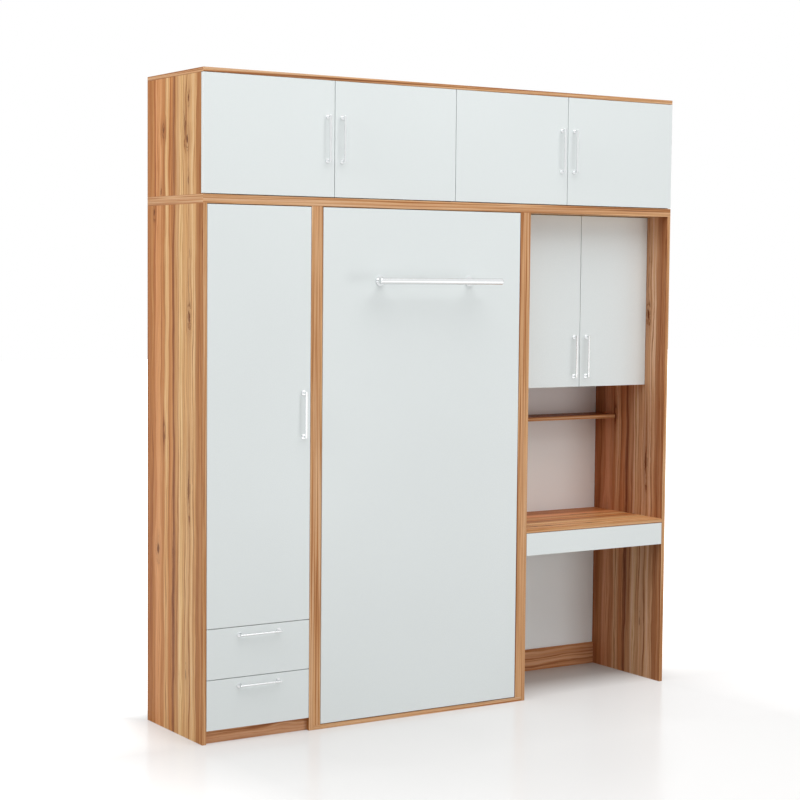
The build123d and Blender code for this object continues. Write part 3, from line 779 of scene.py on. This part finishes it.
def add_band(shape, places, bend, segments, width):
    """Adds a band: a line through these places, rounded at its inner ones, and drawn out to its width."""
    path = [shape.verts.new(place) for place in places]
    for pair in zip(path, path[1:]):
        shape.edges.new(pair)
    bmesh.ops.bevel(shape, geom=path[1:-1], offset=bend, segments=segments, profile=0.5, affect="VERTICES",
                    material=-1)
    line = [edge for edge in shape.edges if not edge.link_faces]
    grown = bmesh.ops.extrude_edge_only(shape, edges=line)["geom"]
    lifted = [item for item in grown if isinstance(item, bmesh.types.BMVert)]
    bmesh.ops.translate(shape, vec=width, verts=lifted)


strap_shape = bmesh.new()
for rise in strap_rises:
    low_edge = rise - strap_width / 2
    corners = [(strap_low.x, strap_low.y, low_edge), (strap_low.x, strap_high.y, low_edge),
               (strap_high.x, strap_high.y, low_edge), (strap_high.x, strap_low.y, low_edge)]
    add_band(strap_shape, corners, strap_bend, 6, (0, 0, strap_width))
straps = finish_piece("webbing_straps", strap_shape, black_paint, "bed")
thicken(straps, strap_thickness, -1)
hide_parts("mattress_straps")
print("straps", len(straps.data.polygons), "faces")

# %% [markdown]
# Webbing is woven in a herringbone: short slanting threads that change direction across the band. A zigzag
# across the band gives the slant, a sine makes threads of it, and the bump lifts each thread. The same sine
# paints each thread lighter on its crown and darker in the grooves: painted light and shade.

# %% Webbing
herringbone = 5.6 * mm
thread_pitch = 2400.0
webbing, webbing_shader = start("woven_webbing", Roughness=0.75, Sheen_Weight=0.2)
web_place = axes(object_place())
web_fold = maths("PINGPONG", web_place["Z"], herringbone)
web_slant = maths("ADD", maths("ADD", web_place["X"], web_place["Y"]), web_fold)
web_thread = maths("SINE", maths("MULTIPLY", web_slant, thread_pitch))
# The thread's tone follows its height: painted light on the crowns, painted shade in the grooves.
painted_thread_shade = ramp(spread(web_thread, -1, 1, 0, 1), painted([(0.1, "202226"), (0.8, "4A4D52")]))
surface(webbing_shader, painted_thread_shade, web_thread, strength=0.6, depth=0.4 * mm)
dress(straps, webbing)
print("webbing on", straps.name)

# %% [markdown]
# The slats are laminated birch: pale, with a fine straight figure along the slat and the thin dark glue
# lines of the plies on their long edges. Under clear coat they shine a little.

# %% Birch slats
slat_grain = (3.0, 90.0, 160.0)
ply_pitch = 4200.0
glue_share = 0.35
birch, birch_shader = start("laminated_birch", Roughness=0.35, Coat_Weight=0.4, Coat_Roughness=0.15)
birch_place = object_place()
birch_fine = add("VectorMath", (0, birch_place), (1, slat_grain), operation="MULTIPLY").outputs[0]
birch_figure = noise(birch_fine, scale=1.0, detail=3.0, roughness=0.6)
birch_tone = ramp(birch_figure, painted([(0.30, "C79E68"), (0.52, "E0BE8A"), (0.75, "EBD0A2")]))
birch_ply = maths("SINE", maths("MULTIPLY", axes(birch_place)["Y"], ply_pitch))
birch_glue = spread(birch_ply, 0.80, 0.95, 0.0, glue_share)
birch_tone = blended("MULTIPLY", birch_glue, birch_tone, paint("8A623A"))
surface(birch_shader, birch_tone, birch_figure, strength=0.2, depth=0.2 * mm)
dress(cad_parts["bed_slats"], birch)
print("slats in", birch.name)

# %% [markdown]
# The drawer boxes are pale melamine board, with a fine linen emboss and a speck of tone.

# %% Drawer board
linen_pitch = 330.0
linen_waver = 1.5
linen, linen_shader = start("drawer_linen", Roughness=0.5)
linen_place = object_place()
linen_ribs = (ribs(linen_place, linen_pitch, linen_waver, direction) for direction in ("Y", "DIAGONAL"))
linen_weave = maths("MAXIMUM", *linen_ribs)
linen_speck = noise(linen_place, scale=40.0, detail=4.0)
linen_tone = ramp(linen_speck, painted([(0.3, "D8D5CD"), (0.7, "E6E3DC")]))
surface(linen_shader, linen_tone, linen_weave, strength=0.15, depth=0.1 * mm)
for drawer in drawers:
    dress(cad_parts[drawer + "_box"], linen)
print("drawer boxes in", linen.name)

# %% [markdown]
# Now come the small parts that only show when something opens. Most are screws. One helper makes a low round
# head with a socket for the driver: a short cone, whose top is inset and pushed down. It has few faces,
# because there are over a hundred of them. Its size is a radius, a height, and perhaps the socket's rim.

# %% Screw heads
head_sides = 12
head_taper = 0.82
socket_depth = 0.7


def add_screw(shape, place, facing, radius, height, rim=0.45):
    """Adds a round head that stands on a surface, and returns the floor of its socket."""
    facing = Vector(facing)
    turn = facing.to_track_quat("Z", "Y").to_matrix().to_4x4()
    middle = Matrix.Translation(place + facing * height / 2)
    points = bmesh.ops.create_cone(shape, cap_ends=True, segments=head_sides, radius1=radius,
                                   radius2=radius * head_taper, depth=height, matrix=middle @ turn)["verts"]
    faces = list(dict.fromkeys(face for point in points for face in point.link_faces))
    top = max(faces, key=lambda face: face.calc_center_median().dot(facing))
    bmesh.ops.inset_region(shape, faces=[top], thickness=radius * rim)
    bmesh.ops.translate(shape, vec=facing * height * -socket_depth, verts=top.verts[:])
    return top


def hardware(name, shape, body, material=zinc):
    """Finishes a small fitting, mostly of zinc plate."""
    piece = finish_piece(name, shape, material, body)
    return piece


print("a screw head has", head_sides, "sides")

# %% [markdown]
# Each bar handle is held from behind by two screws through the door. A drawer's screws sit above its box.

# %% Handle screws
handle_edge = 33 * mm
handle_half = 90 * mm
desk_handle_rise = 139 * mm
drawer_handle_drop = 31 * mm
handle_screw = (4.5 * mm, 2.6 * mm)


def handle_screws(body, middle, reach):
    """The two screws of one bar handle, either side of its middle."""
    shape = bmesh.new()
    for side in (-1, 1):
        add_screw(shape, middle + side * reach, (0, 1, 0), *handle_screw)
    hardware(body + "_handle_screws", shape, body)


for door, (hand, _) in door_table.items():
    low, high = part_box(door)
    free = high.x if hand > 0 else low.x
    rise = low.z + desk_handle_rise if door.startswith("desk") else (low.z + high.z) / 2
    handle_screws(door, Vector((free - hand * handle_edge, high.y, rise)), Vector((0, 0, handle_half)))
for drawer in drawers[:2]:
    low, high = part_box(drawer + "_front")
    middle = Vector(((low.x + high.x) / 2, high.y, high.z - drawer_handle_drop))
    handle_screws(drawer, middle, Vector((handle_half, 0, 0)))
print("handle screws behind", len(handled), "doors and drawer fronts")

# %% [markdown]
# A hinge's mounting plate is held by two screws, 32 mm apart like a cabinet's drilled holes, and two more on
# the arm adjust how the door hangs. They all face into the cabinet.

# %% Hinge screws
hinge_end = 95 * mm
plate_thickness = 2.5 * mm
plate_middle = 35 * mm
plate_half = 16 * mm
plate_screw = (4 * mm, 1.4 * mm)
arm_width = 12 * mm
arm_middle = 51 * mm
arm_half = 13 * mm
arm_screw = (3.2 * mm, 0.9 * mm)
hinge_screws = bmesh.new()
hinge_count = 0
for door, (hand, face) in door_table.items():
    low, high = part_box(door)
    count = 5 if door == "wardrobe_door" else 2
    side = cad_low[0] + face * mm
    arm_face = side + hand * (plate_thickness + arm_width)
    for row in range(count):
        rise = low.z + hinge_end + (high.z - low.z - 2 * hinge_end) * row / (count - 1)
        for step in (-1, 1):
            plate = Vector((side + hand * plate_thickness, high.y + plate_middle, rise + step * plate_half))
            add_screw(hinge_screws, plate, (hand, 0, 0), *plate_screw)
            arm = Vector((arm_face, high.y + arm_middle + step * arm_half, rise))
            add_screw(hinge_screws, arm, (hand, 0, 0), *arm_screw)
        hinge_count += 1
hardware("hinge_screws", hinge_screws, "carcass")
print("screws on", hinge_count, "hinges")

# %% [markdown]
# Shelves that can be moved rest on pins in rows of sleeved holes. A sleeve is a thin ring round a hole, so
# it is the screw's shape with a wider socket; the socket is shallow, and its floor is painted black as
# painted shade for the deep hole. Each row of the table gives two facing sides, the depths of two columns,
# the height of the pin, and the number of holes above it.

# %% Shelf pins and their sleeves
pin_step = 32
pin_columns = (((18, 493), (57, 469), 1827.5, 3), ((1601, 2382), (227, 469), 1774.5, 5))
pin_size = (2.5 * mm, 9 * mm)
sleeve_size = (4.4 * mm, 0.7 * mm, 0.34)
sleeves = bmesh.new()
pins = bmesh.new()
for faces, columns, middle, rows in pin_columns:
    for face, hand in zip(faces, (1, -1)):
        for column in columns:
            for row in range(-rows, rows + 1):
                place = spot(face, column, middle + row * pin_step)
                hole = add_screw(sleeves, place, (hand, 0, 0), *sleeve_size)
                # The socket's floor takes the black paint: painted shade for the hole.
                hole.material_index = 1
            add_screw(pins, spot(face, column, middle), (hand, 0, 0), *pin_size)
sleeve_piece = hardware("shelf_pin_sleeves", sleeves, "carcass")
# Black paint for the socket floors, painted shade for the holes.
sleeve_piece.data.materials.append(black_paint)
hardware("shelf_pins", pins, "carcass")
print("sleeves", len(sleeve_piece.data.polygons), "faces")

# %% [markdown]
# Each sprung slat ends in a black holder that is pressed onto the frame's back leg. A holder is a rounded
# block that swallows the slat's end, with a slightly prouder lip where the slat comes out. Each row says
# where such a block starts from the slat's end, how long it is, and how far it stands off the slat.

# %% Slat holders
slat_count = 14
slat_half = 26.5 * mm
holder_rise = 11.5 * mm
holder_rounding = 1.6 * mm
holder_blocks = ((-1.2 * mm, 36 * mm, 2 * mm), (31 * mm, 5 * mm, 3 * mm))
slat_low, slat_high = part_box("bed_slats")
holders = bmesh.new()
for row in range(slat_count):
    middle = slat_low.z + slat_half + (slat_high.z - slat_low.z - 2 * slat_half) * row / (slat_count - 1)
    for end, hand in ((slat_low.x, 1), (slat_high.x, -1)):
        for shift, length, grow in holder_blocks:
            near, far = sorted((end + hand * shift, end + hand * (shift + length)))
            low = Vector((near, slat_low.y, middle - slat_half - grow))
            high = Vector((far, slat_low.y + holder_rise + grow / 3, middle + slat_half + grow))
            add_block(holders, low, high, holder_rounding)
hardware("slat_holders", holders, "bed", black_paint)
print("slat holders", 2 * slat_count)

# %% [markdown]
# Three domed bolts fix each lever plate to the frame's side channel, on the outside where they clear the gas
# spring.

# %% Lever bolts
lever_faces = ((581, -1), (1513, 1))
bolt_places = ((38, 100), (38, 140), (38, 222))
bolt_size = (6.5 * mm, 3.6 * mm)
lever_bolts = bmesh.new()
for face, hand in lever_faces:
    for back, rise in bolt_places:
        add_screw(lever_bolts, spot(face, back, rise), (hand, 0, 0), *bolt_size)
hardware("lever_bolts", lever_bolts, "bed")
print("lever bolts", len(lever_faces) * len(bolt_places))

# %% [markdown]
# The mattress is turned over by four webbing handles sewn to its long sides. Each is a band with a raised
# middle, like the straps, and its flat ends lie on the swollen border.

# %% Mattress handles
handle_rises = (940 * mm, 1300 * mm)
handle_reach = 80 * mm
handle_bulge = 9 * mm
handle_width = 32 * mm
handle_bend = 7 * mm
handle_thickness = 2.2 * mm
handle_steps = ((-1.0, 0), (-0.72, 0), (-0.5, handle_bulge), (0.5, handle_bulge), (0.72, 0), (1.0, 0))
pad_sides = ((-1, pad_low.x), (1, pad_high.x))


def border_side(edge, rise):
    """How far to the side the border lies at that height."""
    return mattress.closest_point_on_mesh(Vector((edge, pad_middle.y, rise)))[1].x


handle_shape = bmesh.new()
for hand, edge in pad_sides:
    for rise in handle_rises:
        side = border_side(edge, rise)
        near = pad_middle.y - handle_width / 2
        places = [(side + hand * lift, near, rise + share * handle_reach) for share, lift in handle_steps]
        add_band(handle_shape, places, handle_bend, 4, (0, handle_width, 0))
handles = hardware("mattress_handles", handle_shape, "bed", webbing)
thicken(handles, handle_thickness, 0)
print("mattress handles", len(handles.data.polygons), "faces")

# %% [markdown]
# Small chromed eyelets let the mattress breathe. An eyelet is a ring: a little circle spun a full turn.

# %% Eyelets
eyelet_radius = 6.5 * mm
eyelet_wire = 1.7 * mm
eyelet_proud = 0.4 * mm
eyelet_places = (240 * mm, 290 * mm)
full_turn = math.radians(360)
rings = bmesh.new()
for hand, edge in pad_sides:
    for distance in eyelet_places:
        for rise in (pad_low.z + distance, pad_high.z - distance):
            middle = Vector((border_side(edge, rise) + hand * eyelet_proud, pad_middle.y, rise))
            start_at = Matrix.Translation(middle + Vector((0, eyelet_radius, 0)))
            circle = bmesh.ops.create_circle(rings, segments=8, radius=eyelet_wire, matrix=start_at)["verts"]
            edges = list(dict.fromkeys(side for point in circle for side in point.link_edges))
            bmesh.ops.spin(rings, geom=circle + edges, cent=middle, axis=(1, 0, 0), angle=full_turn,
                           steps=20, use_merge=True)
eyelets = hardware("mattress_eyelets", rings, "bed", chrome)
print("eyelets", len(eyelets.data.polygons), "faces")

# %% [markdown]
# Each strap is tightened with a ladder buckle: two side bars and three cross bars. The strap's loose end
# lies over it beyond the buckle.

# %% Buckles and strap ends
buckle_half = 26 * mm
buckle_wing = 27 * mm
bar_half = 2.5 * mm
buckle_left = 250 * mm
buckle_gap = 0.4 * mm
buckle_rounding = 1.2 * mm
side_bar = Vector((buckle_half, 2 * mm, bar_half))
cross_bar = Vector((bar_half, 1.6 * mm, buckle_wing))
tail_length = 135 * mm
tail_top = 1.4 * mm
tail_rounding = 0.7 * mm
buckles = bmesh.new()
tails = bmesh.new()
for rise in strap_rises:
    centre = Vector((pad_middle.x - buckle_left, strap_high.y + buckle_gap, rise))
    for side in (-1, 1):
        middle = centre + Vector((0, 0, side * buckle_wing))
        add_block(buckles, middle - side_bar, middle + side_bar, buckle_rounding)
    for side in (-1, 0, 1):
        middle = centre + Vector((side * (buckle_half - bar_half), 0, 0))
        add_block(buckles, middle - cross_bar, middle + cross_bar, buckle_rounding)
    add_block(tails, centre + Vector((0, -buckle_gap, -strap_width / 2)),
              centre + Vector((tail_length, tail_top, strap_width / 2)), tail_rounding)
hardware("strap_buckles", buckles, "bed")
hardware("strap_ends", tails, "bed", webbing)
print("buckles on", len(strap_rises), "straps")

# %% [markdown]
# The studio is a white sweep. The floor is a pale sheet whose weak gloss keeps the soft shadow and a dim
# mirror image of the unit. Sky and floor are lifted to white for the camera and mirrors only, so the
# background stays clean and the light on the object plain. The floor's lift is smallest at the unit's foot,
# which paints a soft shade round it, and grows away from the unit, least in front, where the lamps' light
# fades; behind the unit it paints light over the unit's own cast shadow.

# %% The floor's lift
half_width = cad_high[0]
half_depth = cad_high[1]
# The lift is smallest at the unit's foot, which paints a soft shade round it.
foot_lift = 0.29
front_lift = 0.08
front_reach = 0.7
side_lift = 0.26
side_reach = 0.8
# aft_lift paints light over the unit's own cast shadow behind it.
aft_lift = 0.50
aft_reach = 0.7
far_lift = 0.45
far_reach = (2.5, 6.0)
# under_reach takes the lift away under the unit: painted shade into the desk niche.
under_reach = (0.30, 0.03)
# Pools: painted shade before the wardrobe and bed, painted light at the open right end.
painted_floor_pools = (((-0.5, -0.6, 0), (0.35, 1.2), -0.105), ((1.3, -0.4, 0), (0.2, 0.65), 0.055))
print("lift at the unit's foot", foot_lift)

# %% [markdown]
# Three more terms shape it. A round pool of painted shade lies before the wardrobe and the bed, standing
# for the shade of their tall closed fronts, and a pool of painted light lies at the open right end, over the
# side lamp's shadow. Under the desk there is no lift at all, which paints shade that darkens the floor into
# the niche.

# %% Floor
floor_size = 60.0


def seen_directly():
    """1 for the camera, mirrors and glass, and 0 for the light that falls on things."""
    path = add("LightPath").outputs
    seen = maths("MAXIMUM", path["Is Camera Ray"], path["Is Glossy Ray"])
    return maths("MAXIMUM", seen, path["Is Transmission Ray"])


def floor_lift():
    """How much white is added to the floor at each place."""
    place = object_place()
    split = axes(place)
    beside = maths("SUBTRACT", maths("ABSOLUTE", split["X"]), half_width)
    behind = maths("SUBTRACT", split["Y"], half_depth)
    before = maths("SUBTRACT", maths("MULTIPLY", split["Y"], -1.0), half_depth)
    outside = maths("MAXIMUM", beside, behind)
    distance = add("VectorMath", (0, place), operation="LENGTH").outputs["Value"]
    aft = maths("MULTIPLY", spread(outside, 0, side_reach / 4, 0, 1),
                spread(before, -aft_reach, 0, aft_lift, 0))
    terms = [spread(outside, 0, side_reach, foot_lift, foot_lift + side_lift), aft,
             spread(distance, *far_reach, 0, far_lift)]
    # The pools paint shade before the tall fronts and light at the right end.
    for middle, reach, change in painted_floor_pools:
        away = add("VectorMath", (0, place), (1, middle), operation="DISTANCE").outputs["Value"]
        terms.append(spread(away, *reach, change, 0))
    # Inside the footprint the lift falls away: painted shade under the desk.
    inside = maths("LESS_THAN", outside, 0.0)
    under = spread(before, -under_reach[0], -under_reach[1], -foot_lift, 0)
    terms.append(maths("MULTIPLY", inside, under))
    lift = spread(before, 0, front_reach, 0, front_lift)
    for term in terms:
        lift = maths("ADD", lift, term)
    return maths("MAXIMUM", lift, 0.0)


floor_mesh = bpy.data.meshes.new("floor")
floor_shape = bmesh.new()
bmesh.ops.create_grid(floor_shape, x_segments=1, y_segments=1, size=floor_size / 2)
floor_shape.to_mesh(floor_mesh)
floor_shape.free()
floor = show("floor", floor_mesh)
studio, studio_shader = start("studio_floor", Base_Color=paint("C6C5C4"), Roughness=0.20, IOR=1.13,
                              Emission_Color=(1, 1, 1, 1))
floor_mesh.materials.append(studio)
wire(maths("MULTIPLY", seen_directly(), floor_lift()), studio_shader.inputs["Emission Strength"])
print("floor", floor_size, "m")

# %% [markdown]
# The sky gives half of the light, evenly from all round. A broad lamp high in front makes the fronts lighter
# at the top than at their foot, and gives the foot bar its faint shadow. A second one lights the long side.
# A weak third one, low in front, reaches the back of the desk niche, and is kept out of the lacquer's gloss.

# %% Sky and lamps
sky_strength = 0.475
sky = bpy.data.worlds.new("studio_sky")
bpy.context.scene.world = sky
sky.use_nodes = True
sky_light = sky.node_tree.nodes["Background"]
sky_light.inputs["Color"].default_value = (1, 1, 1, 1)
bench["tree"] = sky.node_tree
wire(spread(seen_directly(), 0, 1, sky_strength, 1.0), sky_light.inputs["Strength"])


def soft_lamp(name, place, target, size, power):
    """A round soft lamp that faces a target."""
    data = bpy.data.lights.new(name, "AREA")
    data.shape = "DISK"
    data.size = size
    data.energy = power
    made = show(name, data)
    turn = (Vector(target) - Vector(place)).to_track_quat("-Z", "Y").to_matrix().to_4x4()
    made.matrix_world = Matrix.Translation(place) @ turn
    return made


soft_lamp("key_lamp", place=(-0.3, -3.3, 6.6), target=(0, 0, 2.0), size=6.5, power=212)
soft_lamp("side_lamp", place=(-6.5, -0.9, 4.6), target=(-1.2, 0, 1.3), size=2.4, power=158)
front_fill = soft_lamp("front_fill", place=(2.4, -6.0, 1.1), target=(0.5, 0, 1.0), size=2.4, power=52)
front_fill.visible_glossy = False
print("sky", sky_strength, "and three lamps")

# %% [markdown]
# The plain view keeps every colour as it was mixed.

# %% Finish
bpy.context.scene.view_settings.view_transform = "Standard"
